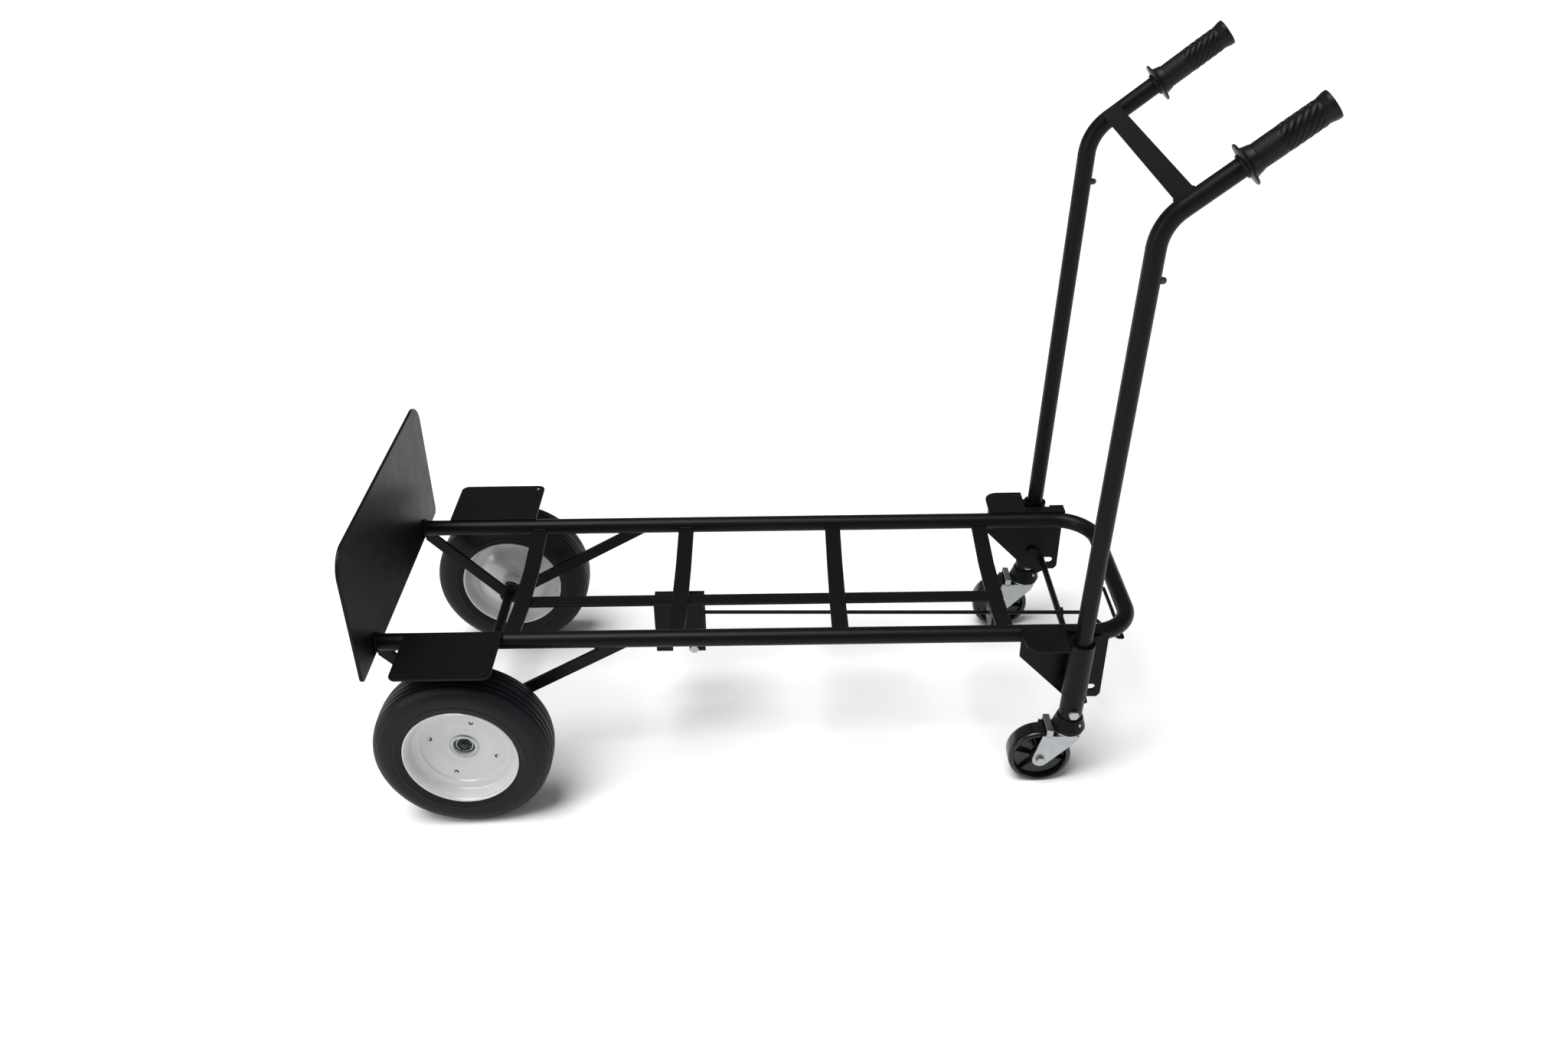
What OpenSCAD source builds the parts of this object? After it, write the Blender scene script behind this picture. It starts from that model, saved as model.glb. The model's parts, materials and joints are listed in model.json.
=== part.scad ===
// Convertible hand truck in its four-wheel platform position.
// Toe plate at -X, pull loop and grips at +X, left side at +Y, floor at Z = 0.

/* [Wheels] */
// Outer radius of a main tyre
wheel_r = 130; // [110:1:150]
// Distance from the middle of the truck to the middle of a main wheel
wheel_y = 222; // [212:1:240]
// Width of a main tyre at its widest
tyre_w = 74; // [60:1:80]
// Radius of the rim's edge, where the tyre sits
rim_r = 84; // [70:1:92]
// Radius of the steel axle
axle_r = 8; // [6:0.5:10]
// Radius of a caster wheel
caster_r = 47; // [40:0.5:47]
// Width of a caster wheel
caster_w = 31; // [24:1:34]

/* [Deck] */
// Length from the toe plate to the middle of the loop's end tube
deck_len = 1105.5; // [1000:1:1300]
// Distance from the middle of the truck to a rail's centre line
rail_y = 156; // [130:1:160]
// Height of the rails' centre line above the main axle, square to the deck
rail_h = 137.5; // [136:0.5:160]
// Outer radius of the frame tube
rail_r = 12.7; // [10:0.1:13]
// Wall of the frame and handle tubes
tube_wall = 1.8; // [1.2:0.1:2.6]
// Radius of the loop's corners, on the tube's centre line
loop_corner_r = 62; // [40:1:90]
// Degrees that the deck drops towards the loop
deck_tilt = 2; // [0:0.5:4]
// Distance from the main axle to the toe plate's load face
toe_back = 123.4; // [110:1:150]

/* [Cross straps] */
// Width of each cross strap
strap_w = 25; // [18:1:40]
// Thickness of each cross strap
strap_t = 4; // [3:0.5:6]
// How far a strap dips below the rails in the middle
strap_sag = 14; // [6:1:20]
// Distance from the axle to the middle of the first strap
strap_start = 70; // [60:1:90]
// Distance from one strap to the next
strap_pitch = 242; // [200:1:250]

/* [Toe plate] */
// Width of the toe plate
toe_w = 470; // [380:1:560]
// Height of the toe plate
toe_h = 212; // [160:1:260]
// Thickness of the toe plate
toe_t = 5; // [3:0.5:8]
// Radius of the toe plate's two upper corners
toe_corner_r = 38; // [10:1:60]

/* [Handle] */
// Distance from the middle of the truck to a handle tube
handle_y = 197; // [195:1:210]
// Height of a handle tube from the pivot to its bend
handle_len = 697.5; // [500:1:900]
// Outer radius of a handle tube
handle_r = 12.7; // [10:0.1:14]
// Degrees that the handle leans out over the loop, from square to the deck
handle_lean = 2; // [0:0.5:6]
// Degrees through which a handle tube bends below its grip
bend_angle = 50; // [30:1:70]
// Radius of that bend, on the tube's centre line
bend_r = 65; // [45:1:90]
// Distance from the bend's corner to the grip's guard flange
grip_start = 112; // [95:1:140]
// Length of a grip from its guard flange to its end
grip_len = 110; // [95:1:140]

/* [Legs and pivot] */
// Distance from the main axle to the handle's pivot, along the deck
pivot_x = 894.6; // [850:1:920]
// Height of the pivot above the main axle, square to the deck
pivot_h = 68; // [64:1:72]
// Outer radius of a leg tube
leg_r = 17; // [16:0.1:17.2]
// Length of a leg tube above the pivot
leg_above = 82; // [70:1:82]
// Length of a leg tube below the pivot
leg_below = 55; // [50:1:60]
// Drop from the pivot to a caster's axle
caster_drop = 122.8; // [122.8:0.1:126]
// Distance that a caster's axle trails behind its swivel
caster_trail = 38.2; // [34:0.5:42]

/* [Latch] */
// Distance that the pull loop and the latch bar travel
latch_travel = 12; // [8:1:12]
// Radius of the latch bar
latch_r = 5; // [4:0.5:5]
// Radius of the release rod
rod_r = 3; // [2.5:0.5:4]

/* [Hidden] */
$fn = 64;

// Working clearances
fit = 0.05;      // between a shaft and the hole it turns in, on the radius
gap = 0.4;       // between flat faces that move past each other
deep = 1;        // how far a cutting shape runs past the face it cuts

// Colours
black_coat = "#2b2c2f";
rubber = "#26282c";
rim_white = "#d8d8d2";
zinc = "#c4c7c9";
grip_black = "#1c1d1f";

// Deck
loop_x = deck_len - toe_back;           // centre of the loop's end tube, from the axle
rail_top = rail_h + rail_r;
coped = rail_r + fit;                   // radius of the cut where a piece fits round a rail

// Plates and brackets
plate_t = 3;
guard_front = 79;
guard_rear = 63;
guard_out = 265;
guard_corner_r = 12;
guard_hole_r = 3;
brace_t = 6;
brace_h = 18;
brace_front = 131;
brace_rear = 247;
boss_r = 15;

// Spine bar, welded under the straps to the right of the middle
spine_y = -35.5;
spine_w = 25;
spine_t = 4;
strap_flat = 50;         // half the width of a strap's flat middle
strap_under = rail_h - strap_sag - strap_t / 2;
spine_top = strap_under - fit;

// Main wheel, measured outwards from the wheel's own middle plane
rim_half = 33;
sheet_t = 2;
hub_r = 18;
hub_bore_r = 16;
hub_out = 8;
hub_in = 49;
hub_len = hub_out + hub_in;
bearing_w = 11;
bearing_seat = 6;          // depth of the recess in front of each bearing
axle_washer_t = 1.5;
axle_end = wheel_y + hub_out - bearing_seat + gap + axle_washer_t + 2.5;
rim_holes = 4;
rim_hole_r = 3.5;
rim_hole_circle = 50;

// Pivot bracket
wall_in = rail_y + rail_r;
wall_t = 4;
wall_out = wall_in + wall_t;
bracket_front = pivot_x - 80;
bracket_rear = pivot_x + 46.5;
bracket_low = pivot_h - 37;
flange_out = 221;
flange_corner_r = 22;
flange_stop = pivot_x - 17.5;
flange_inner = 178;
pivot_bolt_r = 6;
pivot_head_r = 9;

// Latch, measured from the pivot
latch_dx = 19.4;
latch_dz = -19;
latch_x = pivot_x + latch_dx;
latch_h = pivot_h + latch_dz;
latch_half = wall_out + 4.6;
slot_r = latch_r + 0.6;
rod_h = 60.9;              // at the latch bar
rod_slope = 1;             // degrees, down towards the pull loop
rod_front = 283;
rod_rear = 958;
loop_back = loop_x + 16;
loop_half = 70;
loop_wire_r = 3;

// Spring bracket under the second strap
sb_front = 268;
sb_rear = 346;
sb_y0 = -22;
sb_y1 = 13;
sb_top = 103;
sb_low = 11;
sb_leg_w = 26;
sb_notch_h = 36;
spring_seat_x = 336;
spring_front = 292;
spring_coil_r = 6.5;
spring_wire_r = 1;
spring_turns = 9;

// Legs and casters, measured along the leg from the pivot
leg_wall = 1.6;
collar_r = leg_r + 1.2;
collar_low = -8;
cam_t = 4;
cam_r = 21;
bolt_drop = 36;
cup_r = 24.5;
cup_top = -50;
cup_widest = -69.5;
cup_low = -74;
race_t = 2.6;
race_low = cup_low - gap - race_t;
fork_t = 2.5;
fork_in = caster_w / 2 + 2;
fork_top = race_low;
caster_axle_r = 4;
caster_hub_r = 13;

// Bend of the handle tubes
bend_reach = bend_r * tan(bend_angle / 2);
bend_start = handle_len - bend_reach;
grip_end = grip_start + grip_len;
grip_r = 17;
grip_flare_r = 19;
guard_flange_r = 28;
crossbar_at = 39.7;
crossbar_w = 25;
crossbar_t = 4;
button_h = 627.4;

// Row frame: the origin lies under the middle of the whole truck
world_lean = handle_lean + deck_tilt;
grip_slope = world_lean + bend_angle;
pivot_wx = pivot_x * cos(deck_tilt) + pivot_h * sin(deck_tilt);
tip_x = pivot_wx + handle_len * sin(world_lean) + grip_end * sin(grip_slope)
        + grip_flare_r * cos(grip_slope);
row_x0 = -(tip_x - wheel_r) / 2;

// ---- Places ----

// Deck frame: origin at the middle of the main axle, X along the rails
module on_deck()
  translate([row_x0, 0, wheel_r]) rotate([0, deck_tilt, 0]) children();

// Handle frame: origin at the pivot, Z along the handle tubes
module on_handle()
  on_deck() translate([pivot_x, 0, pivot_h]) rotate([0, handle_lean, 0]) children();

// Rod frame: origin where the latch bar hangs, X along the release rod
module on_rod()
  translate([latch_x, 0, rod_h]) rotate([0, rod_slope, 0]) children();

// Height of the rod's centre at a place along the deck
function rod_z(x) = rod_h + (latch_x - x) * tan(rod_slope);

// Drawn for the left side (1) or mirrored to the right side (-1)
module at_side(side) {
  if (side > 0) children();
  else mirror([0, 1, 0]) children();
}

module both_sides() {
  at_side(1) children();
  at_side(-1) children();
}

// A profile drawn in X and Z, given thickness from y to y + t
module plate_xz(y, t)
  translate([0, y + t, 0]) rotate([90, 0, 0]) linear_extrude(t) children();

// A round bar along Y
module bar_y(r, y0, y1)
  translate([0, y0, 0]) rotate([-90, 0, 0]) cylinder(h = y1 - y0, r = r);

// A round bar along X
module bar_x(r, x0, x1)
  translate([x0, 0, 0]) rotate([0, 90, 0]) cylinder(h = x1 - x0, r = r);

// A solid of revolution about Y, its profile given as [radius, y]
module turned_y(points)
  rotate([-90, 0, 0]) rotate_extrude() polygon(points);

// A rectangle whose corners on the +Y side are rounded
module plate_rounded_out(x0, x1, y0, y1, r) {
  translate([x0, y0]) square([x1 - x0, y1 - r - y0]);
  translate([x0 + r, y0]) square([x1 - x0 - 2 * r, y1 - y0]);
  for (x = [x0 + r, x1 - r])
    translate([x, y1 - r]) circle(r);
}

// ---- Frame ----

module loop_solid(r, past) {
  straight = loop_x - loop_corner_r;
  side_y = rail_y - loop_corner_r;
  both_sides() {
    translate([0, rail_y, rail_h]) bar_x(r, -toe_back - past, straight);
    translate([straight, side_y, rail_h])
      rotate_extrude(angle = 90) translate([loop_corner_r, 0]) circle(r);
  }
  translate([loop_x, 0, rail_h]) bar_y(r, -side_y, side_y);
}

module frame_tube()
  color(black_coat) on_deck() difference() {
    loop_solid(rail_r, 0);
    loop_solid(rail_r - tube_wall, deep);
  }

module rail_cut()
  both_sides() translate([0, rail_y, rail_h]) bar_x(coped, -2 * toe_back, loop_x);

// Flat bar with a level middle, its two ends bent up to the rails
module cross_strap(place) {
  x = strap_start + (place - 1) * strap_pitch;
  low = rail_h - strap_sag - strap_t / 2;
  end_low = rail_h - strap_t / 2;
  color(black_coat) on_deck() difference() {
    translate([x - strap_w / 2, 0, 0]) rotate([90, 0, 90]) linear_extrude(strap_w)
      polygon([[-rail_y, end_low], [-strap_flat, low], [strap_flat, low], [rail_y, end_low],
               [rail_y, end_low + strap_t], [strap_flat, low + strap_t],
               [-strap_flat, low + strap_t], [-rail_y, end_low + strap_t]]);
    rail_cut();
  }
}

module spine_bar() {
  x0 = strap_start - strap_w / 2;
  x1 = strap_start + 3 * strap_pitch + strap_w / 2;
  color(black_coat) on_deck()
    translate([x0, spine_y - spine_w / 2, spine_top - spine_t])
      cube([x1 - x0, spine_w, spine_t]);
}

module toe_plate() {
  half = toe_w / 2;
  low = rail_h - rail_r - 2.8;
  foot_r = 10;
  color(black_coat) on_deck()
    translate([-toe_back - toe_t, 0, low]) rotate([90, 0, 90]) linear_extrude(toe_t) {
      translate([-half, foot_r]) square([toe_w, toe_h - foot_r - toe_corner_r]);
      translate([-half + foot_r, 0]) square([toe_w - 2 * foot_r, toe_h - toe_corner_r]);
      translate([-half + toe_corner_r, foot_r])
        square([toe_w - 2 * toe_corner_r, toe_h - foot_r]);
      for (side = [-1, 1]) {
        translate([side * (half - toe_corner_r), toe_h - toe_corner_r]) circle(toe_corner_r);
        translate([side * (half - foot_r), foot_r]) circle(foot_r);
      }
    }
}

// One flat arm of a brace, from the axle up into the rail's cope
module brace_arm(x)
  rotate(atan2(rail_h, x)) translate([0, -brace_h / 2])
    square([norm([x, rail_h]) - 1, brace_h]);

module wheel_brace(side)
  color(black_coat) on_deck() at_side(side) difference() {
    plate_xz(rail_y - brace_t / 2, brace_t) {
      circle(boss_r);
      brace_arm(-brace_front);
      brace_arm(brace_rear);
    }
    translate([0, rail_y, rail_h]) bar_x(coped, -2 * toe_back, 2 * brace_rear);
    translate([-2 * toe_back, rail_y - brace_t, 0])
      cube([toe_back, 2 * brace_t, rail_h + 2 * brace_h]);
    bar_y(axle_r, 0, wheel_y);
  }

module axle()
  color(black_coat) on_deck() bar_y(axle_r - fit / 2, -axle_end, axle_end);

module axle_washers()
  color(zinc) on_deck() both_sides() {
    translate([0, wheel_y + hub_out - bearing_seat + gap, 0])
      ring_y(axle_r + fit, 13, axle_washer_t);
    translate([0, wheel_y - hub_in - gap - axle_washer_t, 0])
      ring_y(axle_r + fit, 13, axle_washer_t);
  }

// A flat ring about Y, from y = 0 to y = t
module ring_y(bore, r, t)
  difference() {
    bar_y(r, 0, t);
    bar_y(bore, -deep, t + deep);
  }

module axle_end_caps()
  color(zinc) on_deck() both_sides()
    translate([0, wheel_y + hub_out - bearing_seat + gap + axle_washer_t, 0]) difference() {
      bar_y(11.5, 0, 4);
      bar_y(axle_r, -deep, 2.5);
    }

module wheel_guard(side)
  color(black_coat) on_deck() at_side(side)
    translate([0, 0, rail_top]) linear_extrude(plate_t) difference() {
      plate_rounded_out(-guard_front, guard_rear, rail_y, guard_out, guard_corner_r);
      translate([guard_rear - 11, guard_out - 9]) circle(guard_hole_r);
    }

// Folded channel that hangs from the second strap and holds the latch spring
module spring_bracket() {
  strap_x = strap_start + strap_pitch;
  seat_w = sb_y1 - sb_y0 - 2 * plate_t;
  color(black_coat) on_deck() difference() {
    union() {
      for (y = [sb_y0, sb_y1 - plate_t])
        plate_xz(y, plate_t) difference() {
          translate([sb_front, sb_low]) square([sb_rear - sb_front, sb_top - sb_low]);
          translate([sb_front + sb_leg_w, sb_low - deep])
            square([sb_rear - sb_front - 2 * sb_leg_w, sb_notch_h - sb_low + deep]);
        }
      translate([sb_front, sb_y0, sb_top - plate_t])
        cube([sb_rear - sb_front, sb_y1 - sb_y0, plate_t]);
      translate([strap_x - strap_w / 2 + 2, -12, sb_top - plate_t])
        cube([strap_w - 4, 22, strap_under - fit - sb_top + plate_t]);
      translate([spring_seat_x, sb_y0 + plate_t, rod_z(spring_seat_x) - 14])
        cube([plate_t, seat_w, 28]);
    }
    on_rod() bar_x(rod_r + 0.1, sb_front - latch_x, sb_rear + deep - latch_x);
    translate([sb_rear - 18, 0, sb_low + 6]) bar_y(4, sb_y0 - deep, sb_y1 + deep);
  }
}

module bracket_bolt()
  color(zinc) on_deck() translate([sb_rear - 18, 0, sb_low + 6]) {
    bar_y(4 - fit, sb_y0, sb_y1 + 8);
    translate([0, sb_y0 - 5, 0]) rotate([-90, 0, 0]) cylinder(h = 5, r = 7.5, $fn = 6);
    difference() {
      translate([0, sb_y1, 0]) rotate([-90, 0, 0]) cylinder(h = 6, r = 7.5, $fn = 6);
      bar_y(4 - fit, sb_y1, sb_y1 + 6);
    }
  }

// Hanger below the fourth strap with a hole for the release rod
module rod_guide() {
  x = strap_start + 3 * strap_pitch - 1;
  foot = rod_z(x) - 12;
  color(black_coat) on_deck() difference() {
    union() {
      translate([x, spine_y - 6, foot]) cube([plate_t, 48, spine_top - spine_t - foot]);
      translate([x - 22, spine_y - 6, spine_top - spine_t - plate_t]) cube([22, 22, plate_t]);
    }
    on_rod() bar_x(rod_r + 0.1, x - latch_x - 2 * deep, x - latch_x + plate_t + 2 * deep);
    translate([x - deep, spine_y + 20, foot + 26]) cube([plate_t + 2 * deep, 40, 60]);
  }
}

// Side wall and top flange that carry the handle's pivot
module pivot_bracket(side) {
  color(black_coat) on_deck() at_side(side) difference() {
    union() {
      plate_xz(wall_in, wall_t)
        polygon([[bracket_front, rail_top], [bracket_front, rail_h - 30],
                 [pivot_x - 6, bracket_low], [bracket_rear - 6, bracket_low],
                 [bracket_rear - 1, bracket_low + 6], [bracket_rear, rail_top]]);
      translate([0, 0, rail_top]) linear_extrude(plate_t) {
        translate([bracket_front, rail_y]) square([bracket_rear - bracket_front, wall_out - rail_y]);
        translate([flange_stop, rail_y]) square([bracket_rear - flange_stop, flange_inner - 5 - rail_y]);
        translate([bracket_rear - 23, rail_y]) square([23, flange_inner - rail_y]);
        translate([bracket_front, rail_y])
          square([flange_stop - bracket_front, flange_out - flange_corner_r - rail_y]);
        translate([bracket_front + flange_corner_r, rail_y])
          square([flange_stop - bracket_front - flange_corner_r, flange_out - rail_y]);
        translate([bracket_front + flange_corner_r, flange_out - flange_corner_r])
          circle(flange_corner_r);
      }
    }
    translate([pivot_x, 0, pivot_h]) bar_y(pivot_bolt_r + fit, rail_y, wall_out + deep);
    long_slot();
    translate([flange_stop - 9, flange_out - 6, rail_h]) cylinder(h = 2 * rail_r, r = 2.5);
    translate([bracket_front - deep, rail_y, rail_h])
      bar_x(coped, 0, bracket_rear - bracket_front + 2 * deep);
  }
}

// Slot in which the latch bar slides
module long_slot()
  for (x = [latch_x, latch_x + latch_travel]) {
    translate([x, 0, latch_h]) bar_y(slot_r, wall_in - deep, wall_out + deep);
    translate([latch_x, wall_in - deep, latch_h - slot_r])
      cube([latch_travel, wall_t + 2 * deep, 2 * slot_r]);
  }

module pivot_bolts()
  color(zinc) on_deck() both_sides() translate([pivot_x, 0, pivot_h]) {
    bar_y(pivot_bolt_r, wall_in - 6, handle_y - 7);
    bar_y(pivot_head_r, wall_in - 7, wall_in - fit);
  }

module pivot_nuts()
  color(zinc) on_deck() both_sides() translate([pivot_x, handle_y - 12, pivot_h])
    difference() {
      bar_y(8.5, 0, 5);
      bar_y(pivot_bolt_r, -deep, 5 + deep);
    }

// ---- Main wheels ----

module on_wheel(side)
  on_deck() at_side(side) translate([0, wheel_y, 0]) children();

// Round-shouldered section: a flat tread band, curved shoulders and full sidewalls
module tyre(side) {
  bulge_r = (wheel_r + rim_r) / 2;
  band = 12;
  rise = wheel_r - bulge_r;
  out = tyre_w / 2;
  shoulder = [for (a = [0 : 15 : 90])
    [bulge_r + rise * sin(a), band + (out - band) * pow(cos(a), 0.75)]];
  bead = [[rim_r + 0.2, rim_half - 1], [rim_r + 4, rim_half + 2]];
  mirrored = [for (i = [len(shoulder) - 1 : -1 : 0]) [shoulder[i][0], -shoulder[i][1]]];
  foot = [[rim_r + 4, -rim_half - 2], [rim_r + 0.2, -rim_half + 1]];
  color(rubber) on_wheel(side) turned_y(concat(bead, shoulder, mirrored, foot));
}

// Pressed dish, from the rim's lip down to the hub; way = 1 outboard, -1 inboard
module rim_half_dish(way, hub_face) {
  mid = way > 0 ? 0.2 : -0.2;
  seat = rim_r - 8;
  lip = rim_half - sheet_t;
  line = [[rim_r, rim_half], [seat, lip], [seat - 2, 16], [62, 12], [54, hub_face + 6],
          [38, hub_face + 2], [hub_r + 8, hub_face]];
  pts = [for (p = line) [p[0], way * p[1]]];
  back = [for (i = [len(line) - 1 : -1 : 0])
    [line[i][0], way * (line[i][1] - sheet_t)]];
  difference() {
    turned_y(concat(pts, [[hub_r + fit, way * hub_face], [hub_r + fit, way * (hub_face - sheet_t)]],
             back));
    for (k = [0 : rim_holes - 1])
      rotate([0, k * 360 / rim_holes + 20, 0]) translate([rim_hole_circle, 0, 0])
        bar_y(rim_hole_r, -2 * hub_in, 2 * hub_in);
  }
}

module rim_outer(side)
  color(rim_white) on_wheel(side) rim_half_dish(1, 6);

module rim_inner(side)
  color(rim_white) on_wheel(side) rim_half_dish(-1, 26);

module hub(side)
  color(rim_white) on_wheel(side) difference() {
    translate([0, -hub_in, 0]) ring_y(axle_r + 4, hub_r, hub_len);
    bar_y(hub_bore_r, -hub_in - deep, -hub_in + bearing_w + 2);
    bar_y(hub_bore_r, hub_out - bearing_w - bearing_seat, hub_out + deep);
  }

module bearings(side)
  color(zinc) on_wheel(side)
    for (y = [-hub_in + 2, hub_out - bearing_seat - bearing_w])
      translate([0, y, 0]) ring_y(axle_r + fit, hub_bore_r - fit, bearing_w);

// ---- Handle ----

// Places children at the bend's end, Z along the grip
module on_grip()
  translate([bend_r - bend_r * cos(bend_angle), 0, bend_start + bend_r * sin(bend_angle)])
    rotate([0, bend_angle, 0]) translate([0, 0, -bend_reach]) children();

// One length of round tube along Z
module tube_length(len)
  difference() {
    cylinder(h = len, r = handle_r);
    translate([0, 0, -deep]) cylinder(h = len + 2 * deep, r = handle_r - tube_wall);
  }

// Shallow ring that joins the bend to a straight length
module tube_joint()
  translate([0, 0, -0.8]) difference() {
    cylinder(h = 1.6, r = handle_r + 0.2);
    translate([0, 0, -deep]) cylinder(h = 1.6 + 2 * deep, r = handle_r - tube_wall - 0.2);
  }

module handle_tube(side)
  color(black_coat) on_handle() at_side(side) translate([0, handle_y, 0]) {
    translate([0, 0, 18]) tube_length(bend_start - 18 - fit);
    translate([0, 0, bend_start]) tube_joint();
    translate([bend_r, 0, bend_start]) rotate([90, 0, 0]) rotate([0, 0, 180 - bend_angle])
      rotate_extrude(angle = bend_angle) translate([bend_r, 0]) difference() {
        circle(handle_r);
        circle(handle_r - tube_wall);
      }
    on_grip() translate([0, 0, bend_reach]) {
      tube_joint();
      translate([0, 0, fit]) tube_length(grip_end - 5 - bend_reach);
    }
  }

module handle_crossbar()
  color(black_coat) on_handle() difference() {
    on_grip() translate([-handle_r, -handle_y, crossbar_at - crossbar_w / 2])
      cube([crossbar_t, 2 * handle_y, crossbar_w]);
    both_sides() translate([0, handle_y, 0]) on_grip()
      cylinder(h = grip_start, r = handle_r + fit);
  }

module grip(side)
  color(grip_black) on_handle() at_side(side) translate([0, handle_y, 0]) on_grip()
    rotate_extrude() polygon([
      [handle_r + fit, grip_start - 6], [handle_r + 2.6, grip_start - 6],
      [handle_r + 3, grip_start - 2], [guard_flange_r, grip_start - 2],
      [guard_flange_r, grip_start + 1.6], [grip_r + 7, grip_start + 3],
      [grip_r + 1.5, grip_start + 11], [grip_r, grip_start + 15],
      [grip_r, grip_end - 16], [grip_flare_r, grip_end - 5],
      [grip_flare_r, grip_end], [0, grip_end], [0, grip_end - 4], [handle_r + fit, grip_end - 4]]);

module stop_buttons()
  color(grip_black) on_handle() both_sides() translate([0, handle_y, button_h]) {
    bar_x(4.5, handle_r - 0.9, handle_r + 3);
    translate([handle_r + 3, 0, 0]) sphere(4.5);
  }

// ---- Legs ----

// Holes for the pivot bolt, from the inboard side of a leg
module pivot_hole()
  bar_y(pivot_bolt_r + fit, handle_y - leg_r - 12, handle_y);

module leg_tube(side)
  color(black_coat) on_handle() at_side(side) difference() {
    translate([0, handle_y, -leg_below]) difference() {
      cylinder(h = leg_above + leg_below, r = leg_r);
      translate([0, 0, -deep])
        cylinder(h = leg_above + leg_below + 2 * deep, r = leg_r - leg_wall);
    }
    pivot_hole();
    translate([0, 0, -bolt_drop]) bar_y(4, handle_y - 2 * leg_r, handle_y + 2 * leg_r);
  }

module leg_collars()
  color(black_coat) on_handle() both_sides() difference() {
    translate([0, handle_y, collar_low]) difference() {
      cylinder(h = leg_above - collar_low, r = collar_r);
      translate([0, 0, -deep])
        cylinder(h = leg_above - collar_low + 2 * deep, r = leg_r + fit);
    }
    pivot_hole();
  }

// Rings that centre the handle tube in the leg
module leg_bushes()
  color(grip_black) on_handle() both_sides() for (z = [20, leg_above - 20])
    translate([0, handle_y, z]) difference() {
      cylinder(h = 12, r = leg_r - leg_wall - fit);
      translate([0, 0, -deep]) cylinder(h = 12 + 2 * deep, r = handle_r + fit);
    }

// Plate welded to the inner side of each leg, with a hook below the latch bar
module cam_plates() {
  clear = latch_r + 1;
  color(black_coat) on_handle() both_sides() difference() {
    plate_xz(wall_out + gap, cam_t + 4) {
      circle(cam_r);
      polygon([[0, 0], [8, -cam_r], [latch_dx - 1, latch_dz - clear],
               [latch_dx + 4, latch_dz - clear], [28, -41], [12, -51], [10.5, -27],
               [-10, -18]]);
      translate([-10, 42]) square([10 + collar_r + 3, leg_above - 43]);
      translate([-10, 0]) square([20, 60]);
    }
    pivot_hole();
    translate([0, handle_y, collar_low]) cylinder(h = 2 * leg_above, r = collar_r + fit);
    translate([0, handle_y, -2 * leg_below]) cylinder(h = 3 * leg_below, r = leg_r + fit);
  }
}

// Cross bolt and nut that hold the caster's stem in the leg
module leg_bolts()
  color(zinc) on_handle() both_sides() translate([0, handle_y, -bolt_drop]) {
    bar_y(4 - fit, -leg_r - 6, leg_r + 3);
    rotate([-90, 0, 0]) translate([0, 0, leg_r + fit]) cylinder(h = 5.5, r = 7.8, $fn = 6);
    difference() {
      rotate([-90, 0, 0]) translate([0, 0, -leg_r - 6]) cylinder(h = 6 - fit, r = 7.8, $fn = 6);
      bar_y(4 - fit, -leg_r - 7, -leg_r + 3);
    }
  }

// ---- Casters ----

// Cup with the plug that fills the foot of the leg
module caster_cup(side) {
  bore = leg_r - leg_wall - fit;
  color(black_coat) on_handle() at_side(side) difference() {
    translate([0, handle_y, 0]) rotate_extrude() polygon([
      [0, -bolt_drop + 12], [bore, -bolt_drop + 12], [bore, -leg_below], [leg_r + fit, -leg_below],
      [leg_r + fit, cup_top], [leg_r + 2, cup_top], [cup_r, cup_widest + 2], [cup_r, cup_widest],
      [cup_r - 4, cup_low], [0, cup_low]]);
    translate([0, 0, -bolt_drop]) bar_y(4, handle_y - 2 * leg_r, handle_y + 2 * leg_r);
    translate([0, handle_y, cup_low - deep]) cylinder(h = 11, r = 6 + fit);
  }
}

module on_caster(side)
  on_handle() at_side(side) translate([0, handle_y, 0]) children();

// Two cheeks, a top web and the short spigot that turns in the cup
module caster_fork(side) {
  axle_x = -caster_trail;
  axle_z = -caster_drop;
  cheek_r = 12;
  web_front = 14;
  web_back = 18;
  color(zinc) on_caster(side) difference() {
    union() {
      for (y = [-fork_in - fork_t, fork_in])
        plate_xz(y, fork_t) {
          translate([axle_x, axle_z]) circle(cheek_r);
          polygon([[axle_x - cheek_r, axle_z + 3], [-40, fork_top], [web_front, fork_top],
                   [web_front - 3, fork_top - 9], [axle_x + 9, axle_z - 8]]);
        }
      translate([-web_back, -fork_in - fork_t, fork_top - fork_t])
        cube([web_back + web_front, 2 * (fork_in + fork_t), fork_t]);
      translate([0, 0, fork_top - fork_t]) cylinder(h = fork_t, r = web_back);
      translate([0, 0, fork_top - fork_t]) cylinder(h = cup_low - fork_top + 9 + fork_t, r = 6);
    }
    translate([axle_x, 0, axle_z]) bar_y(caster_axle_r, -2 * fork_in, 2 * fork_in);
  }
}

module caster_race(side)
  color(zinc) on_caster(side) translate([0, 0, race_low]) difference() {
    cylinder(h = race_t, r = 22.5);
    translate([0, 0, -deep]) cylinder(h = race_t + 2 * deep, r = 6);
  }

module caster_bolt(side) {
  out = fork_in + fork_t;
  color(zinc) on_caster(side) translate([-caster_trail, 0, -caster_drop]) {
    bar_y(caster_axle_r - fit, -out - 7, out + 2);
    rotate([-90, 0, 0]) translate([0, 0, out]) cylinder(h = 5, r = 7.2, $fn = 6);
    difference() {
      rotate([-90, 0, 0]) translate([0, 0, -out - 6]) cylinder(h = 6, r = 7.2, $fn = 6);
      bar_y(caster_axle_r - fit, -out - 8, -out + 2);
    }
  }
}

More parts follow.
